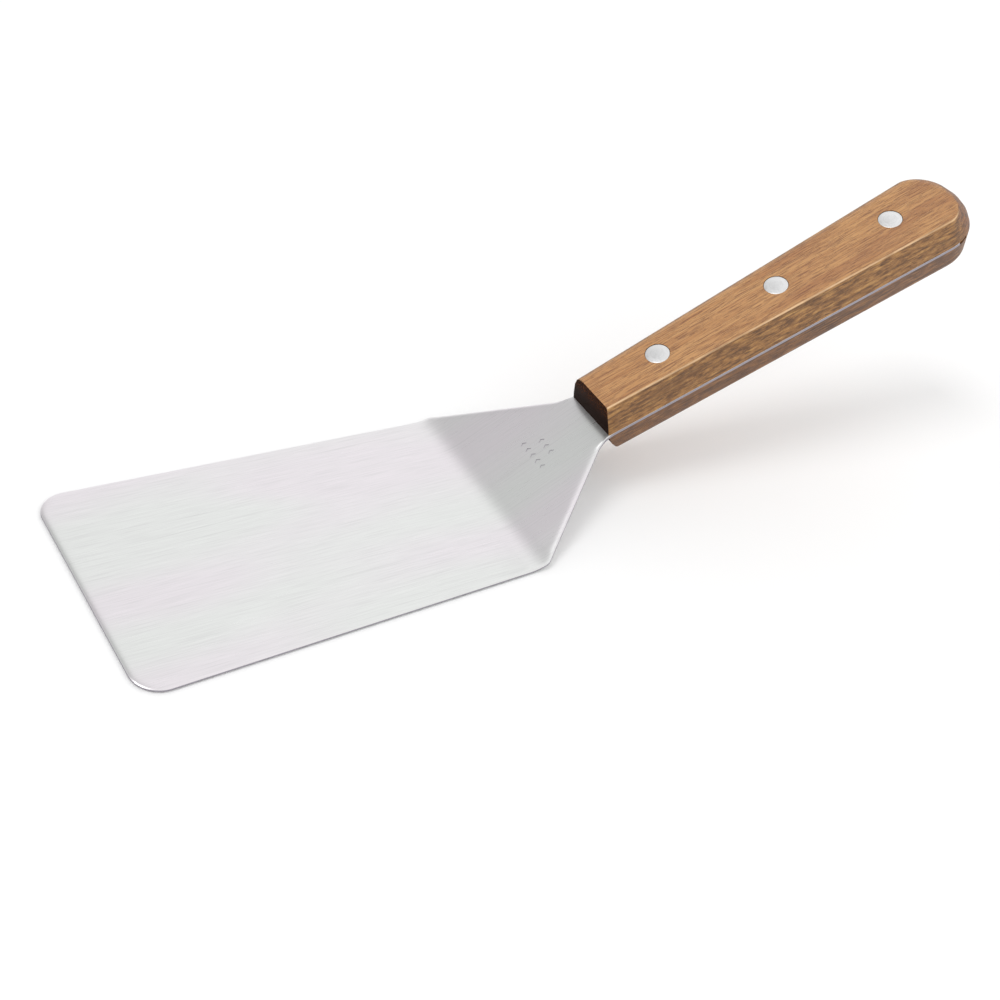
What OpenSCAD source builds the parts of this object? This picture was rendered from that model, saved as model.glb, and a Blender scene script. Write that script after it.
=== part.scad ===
// Grill spatula: one bent stainless sheet makes the blade, the neck and a full-width tang,
// and two wooden scales are held on the tang by three two-part handle rivets.
//
// The frame: +X runs from the blade's leading edge to the butt of the handle, +Y is across
// the blade and +Z is up. The origin is on the underside of the flat blade, in its middle.

/* [Blade] */
// Length of the flat part of the blade
flat_len = 115.4; // [90:0.1:160]
// Width of the blade at its leading edge
front_w = 76.2; // [60:0.1:100]
// Width of the blade at its shoulders, where the neck starts
shoulder_w = 68.2; // [50:0.1:76]
// Radius of the two front corners
corner_r = 8; // [3:0.5:15]
// Radius of the two shoulder corners
shoulder_r = 3; // [1:0.5:6]
// Thickness of the steel sheet
sheet_t = 1; // [0.8:0.1:1.6]

/* [Neck] */
// Slope of the neck above the blade, in degrees
neck_angle = 30.6; // [25:0.1:40]
// Radius of the bend from the blade to the neck
bend_r = 17.8; // [14:0.1:30]
// Straight length of the neck between its two bends
neck_len = 31.4; // [25:0.1:45]
// Radius of the bend from the neck back to the tang
heel_r = 15; // [8:0.5:25]
// Radius of the fillets where the neck runs into the tang
neck_fillet_r = 11; // [4:0.5:11]

/* [Handle] */
// Slope of the handle above the blade, in degrees
handle_angle = 23.3; // [15:0.1:24]
// Length of the handle
grip_len = 138.2; // [132:0.1:160]
// Width of the handle at its front, halfway up
grip_front_w = 19.4; // [17:0.1:24]
// Width of the handle at its round butt, halfway up
grip_butt_w = 28; // [26:0.1:32]
// Thickness of the handle over both scales
grip_t = 21; // [18:0.5:26]
// How far each side leans in between the tang and the outer face
side_lean = 1.5; // [0.5:0.1:2.5]
// Radius of the crisp long edge of a scale
crisp_r = 0.7; // [0.3:0.1:1.5]
// Radius of the soft long edge of a scale, diagonally opposite on the other scale
soft_r = 3.3; // [1:0.1:5]
// How far the front face of each scale leans back
front_lean = 1.6; // [0:0.1:3]
// Length of the tang inside the handle
tang_len = 127; // [118:0.5:128]
// Empty room behind the end of the tang
tang_gap = 3.5; // [0.5:0.1:3.5]

/* [Rivets] */
// Diameter of a rivet's head
head_d = 7.3; // [6:0.1:9]
// Thickness of a rivet's head at its rim
head_t = 1.5; // [1:0.1:2.5]
// Height of the crown on a rivet's head
crown_h = 0.3; // [0.1:0.1:0.6]
// How far the rim of a head lies below the outer face of its scale
head_sink = 0.1; // [0:0.1:0.5]
// Outer diameter of the hollow shank
sleeve_d = 4.8; // [4.2:0.1:5.2]
// Diameter of the solid shank
pin_d = 3; // [2:0.1:3.4]
// Distance from the front of the handle to the first rivet
first_rivet = 24.8; // [18:0.1:28]
// Distance from one rivet to the next
rivet_pitch = 43; // [35:0.1:44]

/* [Hidden] */
$fn = 96;

steel = [0.85, 0.84, 0.85];
wood = [0.70, 0.50, 0.32];
aluminium = [0.80, 0.80, 0.81];

// Distance between the end of the flat blade and its shoulders, seen from above
shoulder_run = 6.4;
// Distance between the handle and the corner where neck and tang would meet, from above
neck_run = 1.9;
// Straight run of the tang in front of the scales
tang_lead = 1;
// Room between a rivet and the hole or counterbore round it
hole_gap = 0.1;
// Room between the solid shank and the hollow one
shank_gap = 0.02;
// How far the hollow shank reaches above the middle of the tang
sleeve_reach = 3;
// How far the solid shank reaches below the middle of the tang
pin_reach = 4;
// Room under the end of the solid shank
pin_end_gap = 0.5;
// Number of straight steps that make up a bend of the sheet
bend_steps = 12;
// Number of straight steps that make up a rounded corner of the sheet's outline
corner_steps = 12;
// Number of steps that make up a rounded edge of a scale
edge_steps = 4;
// Number of sides of the round butt in a scale's slices
butt_sides = 64;
// Thickness of the slices that a scale's shape is drawn over
slice_t = 0.01;
// How far a cutting tool reaches past the face that it cuts
cut = 1;
// Height of the tool that cuts the sheet's outline, taller than the whole spatula
tool_h = 300;

half_grip = grip_t / 2;
butt_r = grip_butt_w / 2;
butt_centre = grip_len - butt_r;
heel_turn = neck_angle - handle_angle;
crown_r = (pow(head_d / 2, 2) + pow(crown_h, 2)) / (2 * crown_h);
head_base = half_grip - head_sink - head_t;

// ---- The path of the sheet's middle, seen from the side, from the leading edge ----

function along(angle) = [cos(angle), sin(angle)];
function above(angle) = [-sin(angle), cos(angle)];

bend_centre = [flat_len, bend_r];
heel_centre = bend_centre - (bend_r + heel_r) * above(neck_angle) + neck_len * along(neck_angle);
handle_front = heel_centre + heel_r * above(handle_angle) + tang_lead * along(handle_angle);

// Moves the children from the leading edge to the part's frame.
module at_leading_edge() {
    translate([-flat_len / 2, 0, sheet_t / 2]) children();
}

// Moves the children to the front of the handle, in the middle plane of the tang.
module at_handle() {
    at_leading_edge()
        translate([handle_front.x, 0, handle_front.y])
            rotate([0, -handle_angle, 0]) children();
}

// From there, moves the children to the place of one rivet, counted from the front: 0, 1 or 2.
module at_rivet(index) {
    translate([first_rivet + index * rivet_pitch, 0, 0]) children();
}

// ---- Outlines ----

function unit(v) = v / norm(v);

function reversed(list) = [for (i = [len(list) - 1 : -1 : 0]) list[i]];

// Half of the angle at the corner b, between the lines to a and to c.
function half_corner(a, b, c) = acos(unit(a - b) * unit(c - b)) / 2;

// Centre of the arc of radius r that touches both lines at the corner b.
function arc_centre(a, b, c, r) =
    b + unit(unit(a - b) + unit(c - b)) * r / sin(half_corner(a, b, c));

// The arc of radius r that takes the place of the corner b.
function rounded(a, b, c, r) =
    let (
        centre = arc_centre(a, b, c, r),
        reach = r / tan(half_corner(a, b, c)),
        start = b + unit(a - b) * reach - centre,
        end = b + unit(c - b) * reach - centre
    )
    [for (i = [0 : corner_steps]) centre + r * unit(start * (corner_steps - i) + end * i)];

// ---- The outline of the sheet, seen from above, from the leading edge ----

// Where the straight sides of the handle touch its round butt, in the handle's own plane
side_turn = asin(butt_r / norm([butt_centre, grip_front_w / 2])) - atan2(grip_front_w / 2, butt_centre);
butt_touch = [butt_centre - butt_r * sin(side_turn), butt_r * cos(side_turn)];

front_corner = [0, front_w / 2];
shoulder_corner = [flat_len + shoulder_run, shoulder_w / 2];
tang_start = [handle_front.x, grip_front_w / 2];
tang_end = [handle_front.x + butt_touch.x * cos(handle_angle), butt_touch.y];
neck_corner = tang_start - neck_run * unit(tang_end - tang_start);

// The round butt of the handle, from its side to its end. The slope squashes it.
butt_outline = [
    for (turn = [0 : 90 / corner_steps : 90])
        [
            handle_front.x + (butt_centre + butt_r * sin(turn)) * cos(handle_angle),
            butt_r * cos(turn)
        ]
];

// The half of the outline on the +Y side, from the leading edge to the butt.
half_outline = concat(
    rounded([0, 0], front_corner, shoulder_corner, corner_r),
    rounded(front_corner, shoulder_corner, neck_corner, shoulder_r),
    rounded(shoulder_corner, neck_corner, tang_end, neck_fillet_r),
    [tang_end],
    butt_outline
);

// ---- The sheet ----

// One face of the sheet seen from the side, at a height above its middle.
function sheet_face(height) = concat(
    [[0, height]],
    [
        for (i = [0 : bend_steps])
            bend_centre - (bend_r - height) * above(neck_angle * i / bend_steps)
    ],
    [
        for (i = [0 : bend_steps])
            heel_centre + (heel_r + height) * above(neck_angle - heel_turn * i / bend_steps)
    ],
    [handle_front + height * above(handle_angle) + tang_len * along(handle_angle)]
);

// The bent strip that the outline is cut from.
module bent_strip() {
    underside = sheet_face(-sheet_t / 2);
    top = sheet_face(sheet_t / 2);
    translate([0, front_w / 2, 0])
        rotate([90, 0, 0])
            linear_extrude(front_w)
                polygon(concat(underside, reversed(top)));
}

module blade() {
    color(steel)
    difference() {
        at_leading_edge()
            intersection() {
                bent_strip();
                translate([0, 0, -tool_h / 2])
                    linear_extrude(tool_h)
                        polygon(concat(
                            half_outline,
                            reversed([for (point = half_outline) [point.x, -point.y]])
                        ));
            }
        at_handle() shank_holes();
    }
}

// ---- The scales ----

// The front edge and the round butt of a slice through a scale, with the slice's -Y side
// and +Y side moved in, and its front moved back. The hull round all slices joins them.
module slice_ends(right_inset, left_inset, front_inset) {
    translate([front_inset, right_inset - grip_front_w / 2])
        square([slice_t, grip_front_w - right_inset - left_inset]);
    translate([butt_centre, (right_inset - left_inset) / 2])
        circle(butt_r - (right_inset + left_inset) / 2, $fn = butt_sides);
}

// How far a side is moved in at a height, by its lean and by the rounding of its long edge.
function side_inset(height, edge_r) =
    let (into_edge = max(0, height - (half_grip - edge_r)))
    side_lean * height / half_grip + edge_r - sqrt(max(0, edge_r * edge_r - into_edge * into_edge));

// Heights of the slices that follow both rounded edges, from the tang to the outer face.
slice_heights = concat(
    [0],
    [for (i = [0 : edge_steps]) half_grip - soft_r * cos(90 * i / edge_steps)],
    [for (i = [0 : edge_steps - 1]) half_grip - crisp_r * cos(90 * i / edge_steps)]
);

// One scale before it is fitted, lying on the middle plane with its crisp edge on the -Y side.
module scale_blank() {
    hull()
        for (height = slice_heights)
            translate([0, 0, min(height, half_grip - slice_t)])
                linear_extrude(slice_t)
                    slice_ends(
                        side_inset(height, crisp_r),
                        side_inset(height, soft_r),
                        front_lean * height / half_grip
                    );
}

// The room that the tang takes, with the empty room behind it.
module tang_room() {
    translate([-cut, -grip_butt_w, -sheet_t / 2])
        cube([cut + tang_len + tang_gap, 2 * grip_butt_w, sheet_t]);
}

// The holes for the three shanks, through the whole handle.
module shank_holes() {
    for (index = [0 : 2])
        at_rivet(index)
            translate([0, 0, -grip_t]) cylinder(h = 2 * grip_t, d = sleeve_d + 2 * hole_gap);
}

// The counterbores for the three heads above the tang.
module head_seats() {
    for (index = [0 : 2])
        at_rivet(index)
            translate([0, 0, head_base]) cylinder(h = grip_t, d = head_d + 2 * hole_gap);
}

// A scale that lies on top of the tang, ready for its rivets.
module fitted_scale() {
    difference() {
        scale_blank();
        tang_room();
        shank_holes();
        head_seats();
    }
}

module upper_scale() {
    color(wood) at_handle() fitted_scale();
}

// The lower scale is the upper one turned half a turn about the handle's long axis.
module lower_scale() {
    color(wood) at_handle() rotate([180, 0, 0]) fitted_scale();
}

// ---- The rivets ----

// A head that sits in its counterbore above the tang, with a slightly crowned face.
module rivet_head() {
    translate([0, 0, head_base])
        intersection() {
            cylinder(h = head_t + crown_h, d = head_d);
            translate([0, 0, head_t + crown_h - crown_r]) sphere(crown_r);
        }
}

// The half with the solid shank, pressed in from above.
module rivet_pin(index) {
    color(aluminium)
    at_handle()
        at_rivet(index) {
            rivet_head();
            translate([0, 0, -pin_reach]) cylinder(h = pin_reach + head_base, d = pin_d);
        }
}

// The half with the hollow shank, pressed in from below.
module rivet_sleeve(index) {
    bore_reach = pin_reach + pin_end_gap;
    color(aluminium)
    at_handle()
        at_rivet(index)
            difference() {
                rotate([180, 0, 0]) {
                    rivet_head();
                    translate([0, 0, -sleeve_reach])
                        cylinder(h = sleeve_reach + head_base, d = sleeve_d);
                }
                translate([0, 0, -bore_reach])
                    cylinder(h = bore_reach + sleeve_reach + cut, d = pin_d + 2 * shank_gap);
            }
}

blade();
upper_scale();
lower_scale();
rivet_pin(0);  // front_rivet_pin
rivet_sleeve(0);  // front_rivet_sleeve
rivet_pin(1);  // middle_rivet_pin
rivet_sleeve(1);  // middle_rivet_sleeve
rivet_pin(2);  // rear_rivet_pin
rivet_sleeve(2);  // rear_rivet_sleeve
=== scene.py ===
"""The looks of the grill spatula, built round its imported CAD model.

Lengths in this script are in millimetres, with the CAD source's names where it has them, and
angles are in radians. Meshes and places are turned into metres where they are made.
"""

import math

import bmesh
import bpy
from mathutils import Matrix, Vector


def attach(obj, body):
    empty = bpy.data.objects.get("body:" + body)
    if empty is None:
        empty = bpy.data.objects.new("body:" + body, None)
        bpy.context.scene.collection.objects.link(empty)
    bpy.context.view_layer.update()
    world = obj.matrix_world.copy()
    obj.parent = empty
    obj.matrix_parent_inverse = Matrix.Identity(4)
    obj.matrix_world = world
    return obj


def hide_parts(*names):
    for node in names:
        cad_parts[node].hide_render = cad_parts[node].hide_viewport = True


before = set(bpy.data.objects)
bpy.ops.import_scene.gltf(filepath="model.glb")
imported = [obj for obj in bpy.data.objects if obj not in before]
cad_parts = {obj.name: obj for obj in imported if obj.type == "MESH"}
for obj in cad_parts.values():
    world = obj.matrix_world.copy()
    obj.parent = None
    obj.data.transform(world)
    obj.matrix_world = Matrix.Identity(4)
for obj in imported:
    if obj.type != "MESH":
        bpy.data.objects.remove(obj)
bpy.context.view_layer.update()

MM = 0.001

# ---- Dimensions of the part ----

FLAT_LEN = 115.4
FRONT_W = 76.2
SHOULDER_W = 68.2
CORNER_R = 8
SHOULDER_R = 3
SHEET_T = 1
NECK_ANGLE = math.radians(30.6)
BEND_R = 17.8
NECK_LEN = 31.4
HEEL_R = 15
NECK_FILLET_R = 11
SHOULDER_RUN = 6.4
NECK_RUN = 1.9
TANG_LEAD = 1

HANDLE_ANGLE = math.radians(23.3)
GRIP_LEN = 138.2
GRIP_FRONT_W = 19.4
GRIP_BUTT_W = 28
GRIP_T = 21
SIDE_LEAN = 1.5
CRISP_R = 0.6
SOFT_R = 3.8
FRONT_LEAN = 1.6
TANG_LEN = 127
TANG_GAP = 3.5

HEAD_D = 7.3
HEAD_T = 1.5
CROWN_H = 0.3
HEAD_SINK = 0.1
SLEEVE_D = 4.8
PIN_D = 3
FIRST_RIVET = 24.8
RIVET_PITCH = 43
SLEEVE_REACH = 3
PIN_REACH = 4
HOLE_GAP = 0.1
SHANK_GAP = 0.02

HALF_GRIP = GRIP_T / 2
BUTT_R = GRIP_BUTT_W / 2
BUTT_CENTRE = GRIP_LEN - BUTT_R
HEAD_BASE = HALF_GRIP - HEAD_SINK - HEAD_T
RIVET_NAMES = ("front", "middle", "rear")
RIVET_PLACES = [FIRST_RIVET + index * RIVET_PITCH for index in range(len(RIVET_NAMES))]
# The angle, from above, between the handle's axis and its sides, which touch the round butt
SIDE_TURN = math.asin(BUTT_R / math.hypot(BUTT_CENTRE, GRIP_FRONT_W / 2)) - math.atan2(
    GRIP_FRONT_W / 2, BUTT_CENTRE
)

# ---- Fineness and small rounding of the visual meshes ----

CORNER_STEPS = 14
BEND_CUTS = 24
SIDE_STEPS = 36
BUTT_STEPS = 64
WALL_STEPS = 3
EDGE_STEPS = 8
ROUND_SIDES = 72
TANG_END_STEPS = 4
FRONT_RIM_STEPS = 4
RIM_STEPS = 3
CROWN_STEPS = 8
# Faces that meet at more than this are shaded with a sharp edge
SMOOTH_ANGLE = math.radians(35)
# The sheet is also cut this far before and past the bends
BEND_MARGIN = 2
# The rounded edge of the sheet, from its underside to its top: inset and height over its middle
SHEET_EDGE = [
    (0.9, -0.5), (0.35, -0.5), (0.1, -0.4), (0, -0.22), (0, 0), (0.08, 0.2), (0.3, 0.34),
    (0.7, 0.43), (1.2, 0.48), (1.8, 0.5), (2.5, 0.5),
]
# How much fuller that edge is inside the handle
TANG_EDGE_GAIN = 1.8
# Length before the handle over which the edge gets fuller
TANG_EDGE_RUN = 5
# The plain stamp on the neck: one lozenge, how deep it goes, and its rows, each with its
# distance from the bend and its number of lozenges
LOZENGE = [(-1, 0), (0, -0.7), (1, 0), (0, 0.7)]
STAMP_DEPTH = 0.2
STAMP_ROWS = [(13.6, 5), (18.4, 3)]
STAMP_PITCH = 2.6
# How far the scales are set back where they meet, and the level where that ends
SEAM_INSET = 0.12
SEAM_LEVEL = 0.012
# Rounding of the rim of the upper scale's front face
FRONT_RIM_R = 0.35
# A scale's faces that look forward this much, this close to its front, are its end grain, whose
# dark colour is also painted shade
FRONT_FACING = -0.93
FRONT_DEPTH = 4
# How far the upper scale's butt leans in at its top, the power of the cosine that keeps this
# near the very end, and the power by which it grows with height
UPPER_END_LEAN = 5.2
END_LEAN_FOCUS = 1.4
END_LEAN_RISE = 2
# How far the lower scale's front curls back at its outer face, and its power of the height
LOWER_FRONT_CURL = 4
FRONT_CURL_RISE = 3
# Rounding of a rivet's rim
RIM_R = 0.1
# Room in a sleeve past the end of its pin
BORE_ROOM = 0.5
# How far the cutters reach, so that each goes well past what it cuts
HOLE_REACH = 3
STAMP_REACH = 1
CUTTER_BASE = -5
ROOM_FRONT = -9
ROOM_HALF_W = 40
SEAT_OVERLAP = 0.5


def along(angle):
    """The direction of a slope in the side view."""
    return Vector((math.cos(angle), math.sin(angle)))


def above(angle):
    """The direction square to that slope, upwards."""
    return Vector((-math.sin(angle), math.cos(angle)))


BEND_CENTRE = Vector((FLAT_LEN, BEND_R))
HEEL_CENTRE = BEND_CENTRE - (BEND_R + HEEL_R) * above(NECK_ANGLE) + NECK_LEN * along(NECK_ANGLE)
HANDLE_FRONT = HEEL_CENTRE + HEEL_R * above(HANDLE_ANGLE) + TANG_LEAD * along(HANDLE_ANGLE)

# The handle's own frame: its origin is at its front, in the middle plane of the tang
HANDLE_PLACE = (
    Matrix.Translation(
        (MM * (HANDLE_FRONT.x - FLAT_LEN / 2), 0, MM * (HANDLE_FRONT.y + SHEET_T / 2))
    )
    @ Matrix.Rotation(-HANDLE_ANGLE, 4, "Y")
)
HALF_TURN = Matrix.Rotation(math.pi, 4, "X")


# ---- Mesh helpers ----


def smoothstep(low, high, value):
    """0 below low, 1 above high, with a smooth step between them."""
    t = min(max((value - low) / (high - low), 0), 1)
    return t * t * (3 - 2 * t)


def new_piece(name, mesh, place=None):
    """A mesh object in the scene, at a place."""
    piece = bpy.data.objects.new(name, mesh)
    bpy.context.scene.collection.objects.link(piece)
    if place is not None:
        piece.matrix_world = place
    return piece


def mesh_from(bm, name):
    """A mesh in metres, from a bmesh in millimetres."""
    bmesh.ops.scale(bm, vec=(MM, MM, MM), verts=bm.verts)
    mesh = bpy.data.meshes.new(name)
    bm.to_mesh(mesh)
    bm.free()
    return mesh


def smooth(piece):
    """Shades a piece smooth, away from its sharp edges."""
    piece.data.shade_smooth()
    piece.data.set_sharp_from_angle(angle=SMOOTH_ANGLE)


def stack_rings(bm, rings, closed=True):
    """Joins rings with the same number of points into a skin, and returns their vertices."""
    rows = [[bm.verts.new(point) for point in ring] for ring in rings]
    for lower, upper in zip(rows, rows[1:]):
        for i in range(0 if closed else 1, len(lower)):
            bm.faces.new((lower[i - 1], lower[i], upper[i], upper[i - 1]))
    return rows


def prism(name, outline, low, high, place):
    """A straight prism over an outline that runs anticlockwise."""
    bm = bmesh.new()
    rows = stack_rings(bm, [[(x, y, z) for x, y in outline] for z in (low, high)])
    bm.faces.new(reversed(rows[0]))
    bm.faces.new(rows[1])
    return new_piece(name, mesh_from(bm, name), place)


def circle(radius, centre=0):
    """The outline of a round prism, whose axis crosses the x axis at centre."""
    turns = [2 * math.pi * i / ROUND_SIDES for i in range(ROUND_SIDES)]
    return [(centre + radius * math.cos(a), radius * math.sin(a)) for a in turns]


def subtract(piece, cutter):
    """Cuts one mesh out of another, and removes the cutter."""
    modifier = piece.modifiers.new("cut", "BOOLEAN")
    modifier.operation = "DIFFERENCE"
    modifier.solver = "EXACT"
    modifier.object = cutter
    bpy.context.view_layer.update()
    graph = bpy.context.evaluated_depsgraph_get()
    cut_mesh = bpy.data.meshes.new_from_object(piece.evaluated_get(graph))
    piece.modifiers.clear()
    whole_mesh = piece.data
    piece.data = cut_mesh
    bpy.data.meshes.remove(whole_mesh)
    cutter_mesh = cutter.data
    bpy.data.objects.remove(cutter)
    bpy.data.meshes.remove(cutter_mesh)


def lathe(name, profile, place):
    """Turns a profile of radius and height about its axis. It starts and ends on the axis."""
    bm = bmesh.new()
    inner = [point for point in profile if point[0] > 0]
    rings = [[(x, y, height) for x, y in circle(radius)] for radius, height in inner]
    rows = stack_rings(bm, rings)
    for row, end in ((list(reversed(rows[0])), profile[0]), (rows[-1], profile[-1])):
        tip = bm.verts.new((0, 0, end[1]))
        for i in range(len(row)):
            bm.faces.new((row[i - 1], row[i], tip))
    return new_piece(name, mesh_from(bm, name), place)


# ---- The steel sheet ----


def rounded(a, b, c, radius):
    """The arc that takes the place of the corner b, between the lines to a and to c."""
    to_a = (a - b).normalized()
    to_c = (c - b).normalized()
    half = to_a.angle(to_c) / 2
    centre = b + (to_a + to_c).normalized() * radius / math.sin(half)
    reach = radius / math.tan(half)
    start = b + to_a * reach - centre
    end = b + to_c * reach - centre
    shares = [i / CORNER_STEPS for i in range(CORNER_STEPS + 1)]
    return [centre + radius * (start * (1 - s) + end * s).normalized() for s in shares]


def sheet_outline():
    """The outline of the sheet from above, from the leading edge, anticlockwise."""
    front_corner = Vector((0, FRONT_W / 2))
    shoulder = Vector((FLAT_LEN + SHOULDER_RUN, SHOULDER_W / 2))
    slope = math.cos(HANDLE_ANGLE)
    tang_start = Vector((HANDLE_FRONT.x, GRIP_FRONT_W / 2))
    butt_touch = BUTT_CENTRE - BUTT_R * math.sin(SIDE_TURN)
    tang_end = Vector((HANDLE_FRONT.x + butt_touch * slope, BUTT_R * math.cos(SIDE_TURN)))
    neck_corner = tang_start - NECK_RUN * (tang_end - tang_start).normalized()
    last_turn = math.asin((TANG_LEN - BUTT_CENTRE) / BUTT_R)
    half = (
        rounded(Vector((0, 0)), front_corner, shoulder, CORNER_R)
        + rounded(front_corner, shoulder, neck_corner, SHOULDER_R)
        + rounded(shoulder, neck_corner, tang_end, NECK_FILLET_R)
        + [tang_end]
    )
    for i in range(TANG_END_STEPS + 1):
        turn = last_turn * i / TANG_END_STEPS
        reach = BUTT_CENTRE + BUTT_R * math.sin(turn)
        half.append(Vector((HANDLE_FRONT.x + reach * slope, BUTT_R * math.cos(turn))))
    near_half = [Vector((point.x, -point.y)) for point in half]
    return near_half + list(reversed(half))


def inset_outline(points, inset):
    """An anticlockwise outline moved inwards."""
    moved = []
    for i, point in enumerate(points):
        before = (point - points[i - 1]).normalized()
        after = (points[(i + 1) % len(points)] - point).normalized()
        normals = [Vector((-d.y, d.x)) for d in (before, after)]
        mitre = (normals[0] + normals[1]) / (1 + normals[0].dot(normals[1]))
        moved.append(point + inset * mitre)
    return moved


def sheet_path(x):
    """Height and slope of the sheet's middle at a distance from the leading edge, from above."""
    bend_end = BEND_CENTRE - BEND_R * above(NECK_ANGLE)
    heel_start = HEEL_CENTRE + HEEL_R * above(NECK_ANGLE)
    heel_end = HEEL_CENTRE + HEEL_R * above(HANDLE_ANGLE)
    if x <= FLAT_LEN:
        return 0, 0
    if x < bend_end.x:
        slope = math.asin((x - FLAT_LEN) / BEND_R)
        return BEND_R * (1 - math.cos(slope)), slope
    if x < heel_start.x:
        return bend_end.y + (x - bend_end.x) * math.tan(NECK_ANGLE), NECK_ANGLE
    if x < heel_end.x:
        slope = math.asin((HEEL_CENTRE.x - x) / HEEL_R)
        return HEEL_CENTRE.y + HEEL_R * math.cos(slope), slope
    return heel_end.y + (x - heel_end.x) * math.tan(HANDLE_ANGLE), HANDLE_ANGLE


def on_sheet(x, y, height):
    """The point of the part at a place on the sheet and a height over its middle."""
    middle, slope = sheet_path(x)
    return Vector((
        x - height * math.sin(slope) - FLAT_LEN / 2,
        y,
        middle + height * math.cos(slope) + SHEET_T / 2,
    ))


def bend_cuts():
    """Distances from the leading edge where the flat sheet is cut, so that it can bend."""
    cuts = [FLAT_LEN - BEND_MARGIN]
    for i in range(BEND_CUTS + 1):
        cuts.append(FLAT_LEN + BEND_R * math.sin(NECK_ANGLE * i / BEND_CUTS))
    cuts.append(cuts[-1] + BEND_MARGIN)
    heel_turn = NECK_ANGLE - HANDLE_ANGLE
    cuts.append(HEEL_CENTRE.x - HEEL_R * math.sin(NECK_ANGLE) - BEND_MARGIN)
    for i in range(BEND_CUTS // 2 + 1):
        turn = NECK_ANGLE - heel_turn * i / (BEND_CUTS // 2)
        cuts.append(HEEL_CENTRE.x - HEEL_R * math.sin(turn))
    cuts.append(HANDLE_FRONT.x)
    cuts.append(HANDLE_FRONT.x + BEND_MARGIN)
    return cuts


def stamp_places():
    """Where the plain lozenges of the stamp lie on the neck: distance from the bend, and y."""
    return [
        (distance, STAMP_PITCH * (i - count // 2))
        for distance, count in STAMP_ROWS
        for i in range(count)
    ]


def build_blade():
    """The blade, neck and tang: one bent sheet with rounded edges."""
    bm = bmesh.new()
    outline = sheet_outline()
    rings = [
        [(point.x, point.y, height) for point in inset_outline(outline, inset)]
        for inset, height in SHEET_EDGE
    ]
    rows = stack_rings(bm, rings)
    bm.faces.new(reversed(rows[0]))
    bm.faces.new(rows[-1])
    for x in bend_cuts():
        everything = bm.verts[:] + bm.edges[:] + bm.faces[:]
        bmesh.ops.bisect_plane(bm, geom=everything, plane_co=(x, 0, 0), plane_no=(1, 0, 0))
    for vertex in bm.verts:
        x, y, height = vertex.co
        inside = smoothstep(HANDLE_FRONT.x - TANG_EDGE_RUN, HANDLE_FRONT.x, x)
        height *= 1 + (TANG_EDGE_GAIN - 1) * inside
        height = min(max(height, -SHEET_T / 2), SHEET_T / 2)
        vertex.co = on_sheet(x, y, height)
    piece = new_piece("blade_sheet", mesh_from(bm, "blade_sheet"))
    for centre in RIVET_PLACES:
        hole = circle(SLEEVE_D / 2 + HOLE_GAP, centre)
        subtract(piece, prism("hole", hole, -HOLE_REACH, HOLE_REACH, HANDLE_PLACE))
    bend_end = FLAT_LEN + BEND_R * math.sin(NECK_ANGLE)
    neck_turn = Matrix.Rotation(-NECK_ANGLE, 4, "Y")
    for distance, y in stamp_places():
        point = on_sheet(bend_end + distance * math.cos(NECK_ANGLE), y, SHEET_T / 2)
        place = Matrix.Translation(MM * point) @ neck_turn
        subtract(piece, prism("lozenge", LOZENGE, -STAMP_DEPTH, STAMP_REACH, place))
    smooth(piece)
    return piece


# ---- The wooden scales ----


def scale_column(along_side, side, level, front_curl):
    """A point of a scale's side: how far along it, on which side, and its level.

    side is -1 for the crisp side and 1 for the soft one. A level is a share of the wall's
    height below 1, and 1 plus a share of the rounded edge above it.
    """
    edge_r = CRISP_R if side < 0 else SOFT_R
    height, inset = wall_point(edge_r, level)
    share = height / HALF_GRIP
    front_inset = FRONT_LEAN * share + front_curl * share**FRONT_CURL_RISE
    front = Vector((front_inset, side * (GRIP_FRONT_W / 2 - inset)))
    touch = Vector((
        BUTT_CENTRE - (BUTT_R - inset) * math.sin(SIDE_TURN),
        side * (BUTT_R - inset) * math.cos(SIDE_TURN),
    ))
    place = front.lerp(touch, along_side)
    return Vector((place.x, place.y, height))


def wall_point(edge_r, level):
    """Height and inset of a scale's wall at a level, under an edge of a radius."""
    if level <= 1:
        height = (HALF_GRIP - edge_r) * level
        seam = SEAM_INSET if level == 0 else 0
        return height, SIDE_LEAN * height / HALF_GRIP + seam
    turn = math.pi / 2 * (level - 1)
    height = HALF_GRIP - edge_r + edge_r * math.sin(turn)
    return height, SIDE_LEAN * height / HALF_GRIP + edge_r * (1 - math.cos(turn))


def butt_point(turn, level, end_lean):
    """A point of a scale's round butt, at a turn from its end and at a level.

    The wall leans in more towards the very end, by end_lean at its top.
    """
    towards_soft = (math.sin(turn) + 1) / 2
    edge_r = CRISP_R + (SOFT_R - CRISP_R) * towards_soft * towards_soft
    height, inset = wall_point(edge_r, level)
    towards_end = max(0, math.cos(turn)) ** END_LEAN_FOCUS
    radius = BUTT_R - inset - end_lean * towards_end * (height / HALF_GRIP) ** END_LEAN_RISE
    return Vector((BUTT_CENTRE + radius * math.cos(turn), radius * math.sin(turn), height))


def scale_ring(level, end_lean, front_curl):
    """One ring round a scale, from its crisp front corner to its soft one, anticlockwise."""
    last_turn = math.pi / 2 + SIDE_TURN
    turns = [last_turn * (2 * i / BUTT_STEPS - 1) for i in range(1, BUTT_STEPS)]
    shares = [i / SIDE_STEPS for i in range(SIDE_STEPS + 1)]
    ring = [scale_column(share, -1, level, front_curl) for share in shares]
    ring += [butt_point(turn, level, end_lean) for turn in turns]
    return ring + [scale_column(share, 1, level, front_curl) for share in reversed(shares)]


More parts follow.
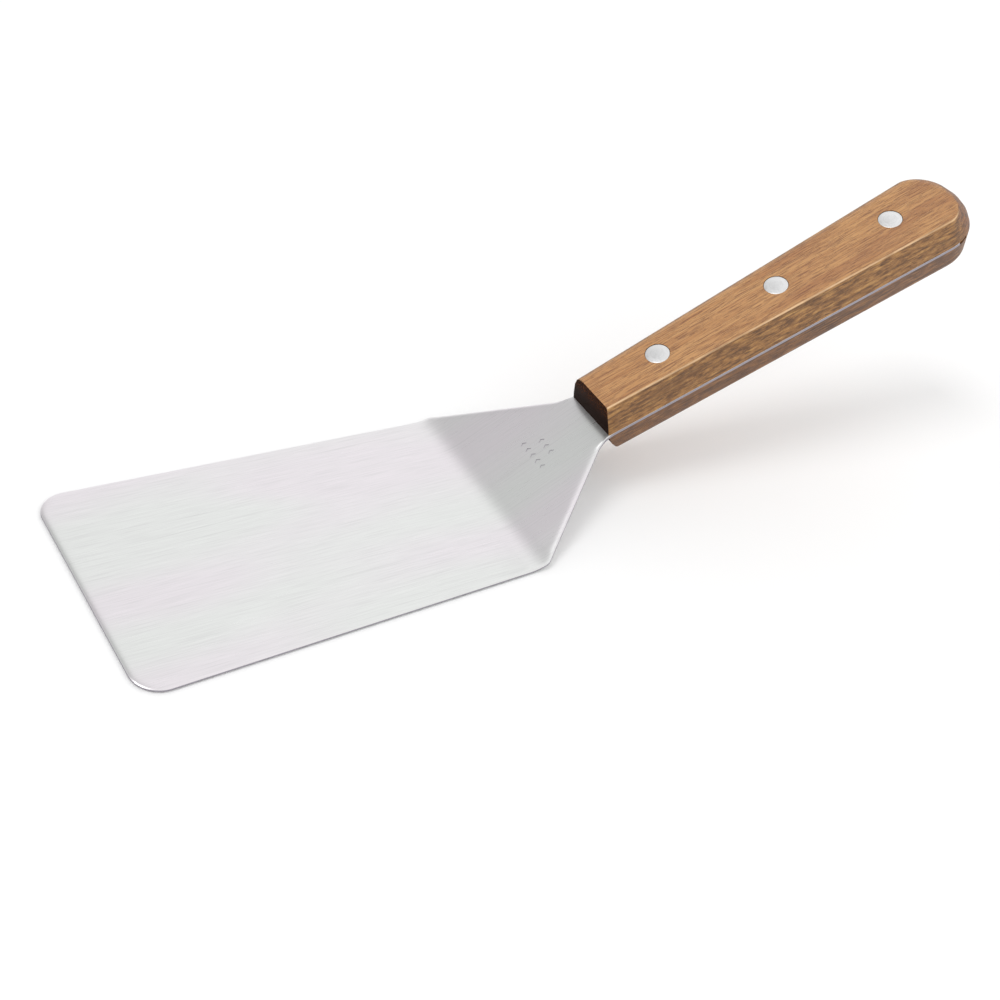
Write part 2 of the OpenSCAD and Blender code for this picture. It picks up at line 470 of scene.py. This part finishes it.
def build_scale(name, place, end_lean, front_curl):
    """One scale, lying above the tang in its own frame, with its crisp edge on its -Y side."""
    bm = bmesh.new()
    levels = [0, SEAM_LEVEL] + [(i + 1) / WALL_STEPS for i in range(WALL_STEPS)]
    levels += [1 + (i + 1) / EDGE_STEPS for i in range(EDGE_STEPS)]
    rings = [scale_ring(level, end_lean, front_curl) for level in levels]
    rows = stack_rings(bm, rings, closed=False)
    bm.faces.new(reversed(rows[0]))
    bm.faces.new(rows[-1])
    if front_curl:
        for lower, upper in zip(rows, rows[1:]):
            bm.faces.new((lower[-1], lower[0], upper[0], upper[-1]))
    else:
        crisp_corner = [row[0] for row in rows]
        soft_corner = [row[-1] for row in rows]
        rim_path = crisp_corner + list(reversed(soft_corner))
        bm.faces.new(rim_path)
        rim = [bm.edges.get(pair) for pair in zip(rim_path, rim_path[1:])]
        bmesh.ops.bevel(
            bm,
            geom=rim,
            offset=FRONT_RIM_R,
            segments=FRONT_RIM_STEPS,
            profile=0.5,
            affect="EDGES",
        )
    piece = new_piece(name, mesh_from(bm, name), place)
    room_end = TANG_LEN + TANG_GAP
    room = [
        (ROOM_FRONT, -ROOM_HALF_W),
        (room_end, -ROOM_HALF_W),
        (room_end, ROOM_HALF_W),
        (ROOM_FRONT, ROOM_HALF_W),
    ]
    subtract(piece, prism("room", room, CUTTER_BASE, SHEET_T / 2, place))
    for centre in RIVET_PLACES:
        shank = circle(SLEEVE_D / 2 + HOLE_GAP, centre)
        seat = circle(HEAD_D / 2 + HOLE_GAP, centre)
        subtract(piece, prism("shank", shank, CUTTER_BASE, HEAD_BASE + SEAT_OVERLAP, place))
        subtract(piece, prism("seat", seat, HEAD_BASE, GRIP_T, place))
    smooth(piece)
    for face in piece.data.polygons:
        if face.normal.x < FRONT_FACING and face.center.x < FRONT_DEPTH * MM:
            face.material_index = 1
    return piece


# ---- The rivets ----


def head_profile():
    """A rivet's head from its rim to its crown, as radius and height over its own rim."""
    rim = HEAD_D / 2
    profile = [(rim, -HEAD_T), (rim, -RIM_R)]
    for i in range(1, RIM_STEPS + 1):
        turn = math.pi / 2 * i / RIM_STEPS
        profile.append((rim - RIM_R * (1 - math.cos(turn)), -RIM_R * (1 - math.sin(turn))))
    for i in range(1, CROWN_STEPS):
        share = i / CROWN_STEPS
        profile.append(((rim - RIM_R) * (1 - share), CROWN_H * (1 - (1 - share) ** 2)))
    return profile + [(0, CROWN_H)]


def build_rivet_half(name, centre, turned, shank):
    """One half of a rivet, with its origin on its axis at its rim. The sleeves are turned."""
    rim_height = HALF_GRIP - HEAD_SINK
    lift = Matrix.Translation((MM * centre, 0, MM * rim_height))
    place = HANDLE_PLACE @ (HALF_TURN if turned else Matrix.Identity(4)) @ lift
    profile = [(radius, height - rim_height) for radius, height in shank] + head_profile()
    piece = lathe(name, profile, place)
    smooth(piece)
    return piece


PIN_SHANK = [
    (0, -PIN_REACH),
    (PIN_D / 2, -PIN_REACH),
    (PIN_D / 2, HEAD_BASE),
]
SLEEVE_SHANK = [
    (0, PIN_REACH + BORE_ROOM),
    (PIN_D / 2 + SHANK_GAP, PIN_REACH + BORE_ROOM),
    (PIN_D / 2 + SHANK_GAP, -SLEEVE_REACH),
    (SLEEVE_D / 2, -SLEEVE_REACH),
    (SLEEVE_D / 2, HEAD_BASE),
]


# ---- Material helpers ----


def linear(red, green, blue):
    """A linear colour from the usual 0-255 values."""
    def channel(value):
        value /= 255
        return value / 12.92 if value <= 0.04045 else ((value + 0.055) / 1.055) ** 2.4
    return (channel(red), channel(green), channel(blue), 1)


class Shader:
    """A material's node tree, with short calls for the nodes that this part's looks need."""

    def __init__(self, name):
        self.material = bpy.data.materials.new(name)
        self.material.use_nodes = True
        self.tree = self.material.node_tree
        self.surface = self.tree.nodes["Principled BSDF"]
        self.coordinates = self.tree.nodes.new("ShaderNodeTexCoord")

    def put(self, socket, value):
        """Links a node's output to a socket, or sets the socket's own value."""
        if isinstance(value, bpy.types.NodeSocket):
            self.tree.links.new(value, socket)
        else:
            socket.default_value = value

    def place(self, scale, shift=(0, 0, 0)):
        """The piece's own coordinates, with this many features per metre on each axis."""
        node = self.tree.nodes.new("ShaderNodeMapping")
        self.put(node.inputs["Vector"], self.coordinates.outputs["Object"])
        self.put(node.inputs["Scale"], scale)
        self.put(node.inputs["Location"], shift)
        return node.outputs["Vector"]

    def noise(self, scale, detail=3, roughness=0.5, distortion=0, shift=(0, 0, 0)):
        """Noise with this many features per metre on each axis."""
        node = self.tree.nodes.new("ShaderNodeTexNoise")
        self.put(node.inputs["Vector"], self.place(scale, shift))
        self.put(node.inputs["Scale"], 1)
        self.put(node.inputs["Detail"], detail)
        self.put(node.inputs["Roughness"], roughness)
        self.put(node.inputs["Distortion"], distortion)
        return node.outputs["Fac"]

    def step(self, value, low, high, to_low=0, to_high=1):
        """A smooth step of a value, from to_low to to_high."""
        node = self.tree.nodes.new("ShaderNodeMapRange")
        node.interpolation_type = "SMOOTHSTEP"
        self.put(node.inputs["Value"], value)
        self.put(node.inputs["From Min"], low)
        self.put(node.inputs["From Max"], high)
        self.put(node.inputs["To Min"], to_low)
        self.put(node.inputs["To Max"], to_high)
        return node.outputs["Result"]

    def maths(self, operation, a, b=0):
        """The result of one operation on two values."""
        node = self.tree.nodes.new("ShaderNodeMath")
        node.operation = operation
        self.put(node.inputs[0], a)
        self.put(node.inputs[1], b)
        return node.outputs[0]

    def mix(self, share, a, b):
        """A colour between a and b."""
        node = self.tree.nodes.new("ShaderNodeMix")
        node.data_type = "RGBA"
        self.put(node.inputs["Factor"], share)
        self.put(node.inputs[6], a)
        self.put(node.inputs[7], b)
        return node.outputs[2]

    def axes(self, kind):
        """The three parts of the piece's own coordinates or of its own normals."""
        node = self.tree.nodes.new("ShaderNodeSeparateXYZ")
        self.put(node.inputs[0], self.coordinates.outputs[kind])
        return node.outputs

    def bump(self, height, depth, below=None):
        """Bump from a height of 0 to 1, this many millimetres deep."""
        node = self.tree.nodes.new("ShaderNodeBump")
        self.put(node.inputs["Height"], height)
        self.put(node.inputs["Distance"], depth * MM)
        if below is not None:
            self.put(node.inputs["Normal"], below)
        return node.outputs["Normal"]


# ---- Materials ----


def brushed_steel():
    """Stainless sheet, brushed lengthwise, with faint broad tints and painted shade on its
    edges.
    """
    shader = Shader("brushed_steel")
    surface = shader.surface
    fine = shader.noise((70, 4200, 70), detail=4, roughness=0.6)
    long_streaks = shader.noise((22, 1300, 22), detail=3, shift=(3, 1, 2))
    broad = shader.noise((9, 34, 9), detail=1, shift=(0.4, 5, 0))
    tint = shader.mix(
        shader.step(broad, 0.38, 0.62), linear(226, 228, 226), linear(229, 224, 228)
    )
    brushed = shader.mix(shader.step(fine, 0.35, 0.75, 0, 0.5), tint, linear(204, 203, 204))
    streaked = shader.mix(
        shader.step(long_streaks, 0.58, 0.75, 0, 0.3), brushed, linear(196, 196, 196)
    )
    # Faces that look sideways, the sheet's edges, are painted a darker violet-grey: painted
    # shade.
    upright = shader.maths("ABSOLUTE", shader.axes("Normal")[2])
    painted_edge_shade = shader.step(upright, 0.3, 0.75, 1, 0)
    colour = shader.mix(painted_edge_shade, streaked, linear(158, 154, 162))
    shader.put(surface.inputs["Base Color"], colour)
    surface.inputs["Metallic"].default_value = 1
    shader.put(surface.inputs["Roughness"], shader.step(fine, 0.2, 0.8, 0.26, 0.36))
    shallow = shader.bump(long_streaks, 0.004)
    shader.put(surface.inputs["Normal"], shader.bump(fine, 0.0035, shallow))
    return shader.material


RINGS_PER_METRE = 5200


def rivet_aluminium():
    """Turned aluminium, with faint rings round its axis."""
    shader = Shader("rivet_aluminium")
    surface = shader.surface
    parts = shader.axes("Object")
    square = [shader.maths("MULTIPLY", parts[i], parts[i]) for i in range(2)]
    radius = shader.maths("SQRT", shader.maths("ADD", square[0], square[1]))
    ring_place = shader.tree.nodes.new("ShaderNodeCombineXYZ")
    shader.put(ring_place.inputs[0], shader.maths("MULTIPLY", radius, RINGS_PER_METRE))
    rings = shader.tree.nodes.new("ShaderNodeTexNoise")
    shader.put(rings.inputs["Vector"], ring_place.outputs[0])
    shader.put(rings.inputs["Scale"], 1)
    ring = rings.outputs["Fac"]
    scuffs = shader.noise((900, 900, 900), detail=4, roughness=0.65)
    colour = shader.mix(
        shader.step(ring, 0.3, 0.7), linear(221, 221, 221), linear(234, 234, 235)
    )
    shader.put(
        surface.inputs["Base Color"],
        shader.mix(shader.step(scuffs, 0.5, 0.72, 0, 0.5), colour, linear(212, 211, 211)),
    )
    surface.inputs["Metallic"].default_value = 1
    shader.put(surface.inputs["Roughness"], shader.step(scuffs, 0.3, 0.7, 0.3, 0.42))
    shader.put(surface.inputs["Normal"], shader.bump(ring, 0.006, shader.bump(scuffs, 0.01)))
    return shader.material


def wood(name, face, side, streaks_on_side):
    """Oiled open-pored wood, with a painted highlight along its crisp top edge. face and side
    are (light, middle, dark) colours.
    """
    shader = Shader(name)
    surface = shader.surface
    normal = shader.axes("Normal")

    # The broad faces: fine straight grain with short dark pores
    grain = shader.noise((26, 620, 620), detail=5, roughness=0.65, distortion=0.15)
    fine_grain = shader.noise((60, 2600, 1800), detail=3, roughness=0.6, shift=(4, 2, 6))
    patches = shader.noise((16, 90, 90), detail=2, shift=(2, 4, 1))
    pores = shader.noise((260, 5600, 3200), detail=2, roughness=0.6)
    long_pores = shader.noise((60, 3000, 1900), detail=3, shift=(7, 3, 5))
    face_colour = shader.mix(shader.step(grain, 0.3, 0.68), face[1], face[0])
    face_colour = shader.mix(shader.step(patches, 0.48, 0.7, 0, 0.45), face_colour, face[2])
    face_colour = shader.mix(shader.step(fine_grain, 0.45, 0.75, 0, 0.55), face_colour, face[2])
    pore_mask = shader.maths(
        "MAXIMUM",
        shader.step(pores, 0.53, 0.62, 0, 0.65),
        shader.step(long_pores, 0.56, 0.65, 0, 0.6),
    )
    face_colour = shader.mix(pore_mask, face_colour, linear(104, 62, 42))

    # The sides: mottled figure, with flecks drawn out along the handle
    mottle = shader.noise((210, 620, 900), detail=8, roughness=0.72, distortion=0.15)
    blotch = shader.noise((70, 150, 260), detail=4, roughness=0.6, shift=(1, 2, 7))
    flecks = shader.noise((240, 1700, 2100), detail=4, roughness=0.65, shift=(3, 0, 1))
    streak = shader.noise((30, 600, 1700), detail=4, roughness=0.65, shift=(0, 6, 3))
    side_colour = shader.mix(shader.step(mottle, 0.36, 0.56), side[2], side[1])
    side_colour = shader.mix(shader.step(mottle, 0.52, 0.68), side_colour, side[0])
    side_colour = shader.mix(shader.step(blotch, 0.52, 0.64, 0, 0.5), side_colour, side[2])
    dark = linear(62, 38, 20)
    side_colour = shader.mix(shader.step(flecks, 0.57, 0.66, 0, 0.75), side_colour, dark)
    side_colour = shader.mix(
        shader.step(streak, 0.52, 0.62, 0, streaks_on_side), side_colour, dark
    )

    # The round butt shows end grain and is more orange
    butt = shader.step(normal[0], 0.2, 0.7, 0, 0.9)
    butt_colour = shader.mix(
        shader.step(mottle, 0.35, 0.65), linear(72, 38, 13), linear(148, 90, 36)
    )
    side_colour = shader.mix(butt, side_colour, butt_colour)

    top_share = shader.step(normal[2], 0.78, 0.95)
    colour = shader.mix(top_share, side_colour, face_colour)
    # A pale line is painted where the crisp top edge slopes towards -Y: a painted highlight,
    # broken up by the blotches.
    edge_highlight_slope = shader.maths("MULTIPLY", shader.maths("MULTIPLY", normal[1], -2), normal[2])
    painted_edge_highlight = shader.maths(
        "MULTIPLY", shader.step(edge_highlight_slope, 0.5, 0.95), shader.step(blotch, 0.35, 0.65, 0.9, 0.4)
    )
    colour = shader.mix(painted_edge_highlight, colour, linear(232, 194, 150))
    shader.put(surface.inputs["Base Color"], colour)
    shader.put(surface.inputs["Roughness"], shader.step(grain, 0.2, 0.8, 0.4, 0.52))
    relief = shader.maths("MULTIPLY", pore_mask, -1)
    coarse = shader.bump(mottle, 0.03)
    shader.put(surface.inputs["Normal"], shader.bump(relief, 0.05, coarse))
    return shader.material


def end_grain_and_shade():
    """The front ends of the scales, nearly black as dark end grain and painted shade, with brown
    specks in their upper half.
    """
    shader = Shader("scale_front_ends_shaded")
    surface = shader.surface
    specks = shader.noise((2600, 2600, 2600), detail=2)
    speckled = shader.maths(
        "MULTIPLY",
        shader.step(specks, 0.5, 0.62, 0, 0.75),
        shader.step(shader.axes("Object")[2], 4 * MM, 8.5 * MM),
    )
    rings = shader.noise((300, 300, 900), detail=3)
    # The near-black base is dark end grain and painted shade together.
    dark = shader.mix(rings, linear(22, 8, 3), linear(34, 15, 7))
    shader.put(surface.inputs["Base Color"], shader.mix(speckled, dark, linear(104, 60, 32)))
    shader.put(surface.inputs["Roughness"], shader.step(specks, 0.3, 0.7, 0.6, 0.75))
    surface.inputs["Specular IOR Level"].default_value = 0.05
    shader.put(surface.inputs["Normal"], shader.bump(specks, 0.03))
    return shader.material


def plain_floor():
    """A matt white floor with the faintest unevenness."""
    shader = Shader("studio_floor")
    shade = shader.noise((1.5, 1.5, 1.5), detail=1)
    shader.put(
        shader.surface.inputs["Base Color"],
        shader.mix(shade, (0.93, 0.93, 0.93, 1), (0.95, 0.95, 0.95, 1)),
    )
    shader.surface.inputs["Roughness"].default_value = 0.9
    shader.surface.inputs["Specular IOR Level"].default_value = 0.1
    return shader.material


# ---- The pieces ----

blade = build_blade()
blade.data.materials.append(brushed_steel())
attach(blade, "root")
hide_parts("blade")

upper_wood = wood(
    "scale_wood_light",
    face=(linear(200, 151, 98), linear(177, 125, 77), linear(152, 99, 64)),
    side=(linear(194, 148, 86), linear(160, 113, 61), linear(100, 64, 30)),
    streaks_on_side=0.5,
)
lower_wood = wood(
    "scale_wood_dark",
    face=(linear(180, 132, 86), linear(156, 108, 68), linear(128, 84, 54)),
    side=(linear(150, 104, 54), linear(128, 84, 42), linear(86, 52, 24)),
    streaks_on_side=0.9,
)
shaded_front_material = end_grain_and_shade()
for node_name, place, end_lean, front_curl, material in (
    ("upper_scale", HANDLE_PLACE, UPPER_END_LEAN, 0, upper_wood),
    ("lower_scale", HANDLE_PLACE @ HALF_TURN, 0, LOWER_FRONT_CURL, lower_wood),
):
    scale_piece = build_scale(node_name + "_wood", place, end_lean, front_curl)
    scale_piece.data.materials.append(material)
    scale_piece.data.materials.append(shaded_front_material)
    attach(scale_piece, "root")
    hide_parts(node_name)

rivet_metal = rivet_aluminium()
for position, centre in zip(RIVET_NAMES, RIVET_PLACES):
    for part, turned, shank in (("pin", False, PIN_SHANK), ("sleeve", True, SLEEVE_SHANK)):
        node_name = f"{position}_rivet_{part}"
        rivet = build_rivet_half(node_name + "_metal", centre, turned, shank)
        rivet.data.materials.append(rivet_metal)
        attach(rivet, "root")
        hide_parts(node_name)


# ---- Floor, light and camera ----

# How far the floor reaches on each side, and its top and bottom
FLOOR_REACH = 6000
FLOOR_TOP = -0.2
FLOOR_BOTTOM = -20

floor = prism(
    "floor",
    [(FLOOR_REACH * x, FLOOR_REACH * y) for x, y in ((-1, -1), (1, -1), (1, 1), (-1, 1))],
    FLOOR_BOTTOM,
    FLOOR_TOP,
    Matrix.Identity(4),
)
floor.data.materials.append(plain_floor())

# The sky is a large soft light, brighter towards +X, with a greyer patch that the neck mirrors
PATCH_DIRECTION = Vector((-0.28, 0.58, 0.765)).normalized()
world = bpy.data.worlds.new("studio")
bpy.context.scene.world = world
world.use_nodes = True
sky = world.node_tree
sky_place = sky.nodes.new("ShaderNodeTexCoord")


def sky_share(direction, low, high, to_low, to_high):
    """A smooth step over the sky along a direction."""
    dot = sky.nodes.new("ShaderNodeVectorMath")
    dot.operation = "DOT_PRODUCT"
    sky.links.new(sky_place.outputs["Generated"], dot.inputs[0])
    dot.inputs[1].default_value = direction
    ramp = sky.nodes.new("ShaderNodeMapRange")
    ramp.interpolation_type = "SMOOTHSTEP"
    sky.links.new(dot.outputs["Value"], ramp.inputs["Value"])
    for socket, value in zip(ramp.inputs[1:5], (low, high, to_low, to_high)):
        socket.default_value = value
    return ramp.outputs["Result"]


sky_strength = sky.nodes.new("ShaderNodeMath")
sky_strength.operation = "MULTIPLY"
brighter_side = sky_share((1, 0, 0), low=-0.35, high=0.25, to_low=0.84, to_high=1.09)
sky.links.new(brighter_side, sky_strength.inputs[0])
grey_patch = sky_share(PATCH_DIRECTION, low=0.84, high=0.98, to_low=1, to_high=0.66)
sky.links.new(grey_patch, sky_strength.inputs[1])
sky.links.new(sky_strength.outputs[0], sky.nodes["Background"].inputs["Strength"])
sky.nodes["Background"].inputs["Color"].default_value = (1, 1, 1, 1)

# The key light comes from high over the leading edge, so the handle's shadow falls behind it
KEY_DIRECTION = Vector((-0.49, 0.09, 0.87))
KEY_ENERGY = 0.7
KEY_ANGLE = math.radians(24)
key_data = bpy.data.lights.new("key", "SUN")
key_data.energy = KEY_ENERGY
key_data.angle = KEY_ANGLE
key = bpy.data.objects.new("key", key_data)
key.rotation_euler = KEY_DIRECTION.to_track_quat("Z", "Y").to_euler()
bpy.context.scene.collection.objects.link(key)

# The camera: its heading from +Y towards +X, its tilt down and its roll, and what it aims at
HEADING = math.radians(40.961)
TILT = math.radians(39.831)
ROLL = math.radians(14.467)
AIM = Vector((60.80, -10.78, 7.01))
DISTANCE = 453.53
FOCAL_LENGTH = 57.32
SENSOR_WIDTH = 36

forward = Vector((
    math.cos(TILT) * math.sin(HEADING),
    math.cos(TILT) * math.cos(HEADING),
    -math.sin(TILT),
))
level_right = forward.cross(Vector((0, 0, 1))).normalized()
level_up = level_right.cross(forward)
right = math.cos(ROLL) * level_right + math.sin(ROLL) * level_up
up = right.cross(forward)
camera_data = bpy.data.cameras.new("camera")
camera_data.lens = FOCAL_LENGTH
camera_data.sensor_width = SENSOR_WIDTH
camera_data.clip_start = 0.01
camera_data.clip_end = 50
camera = bpy.data.objects.new("camera", camera_data)
turn = Matrix((right, up, -forward)).transposed().to_4x4()
camera.matrix_world = Matrix.Translation(MM * (AIM - DISTANCE * forward)) @ turn
bpy.context.scene.collection.objects.link(camera)
bpy.context.scene.camera = camera
bpy.context.scene.view_settings.view_transform = "Standard"
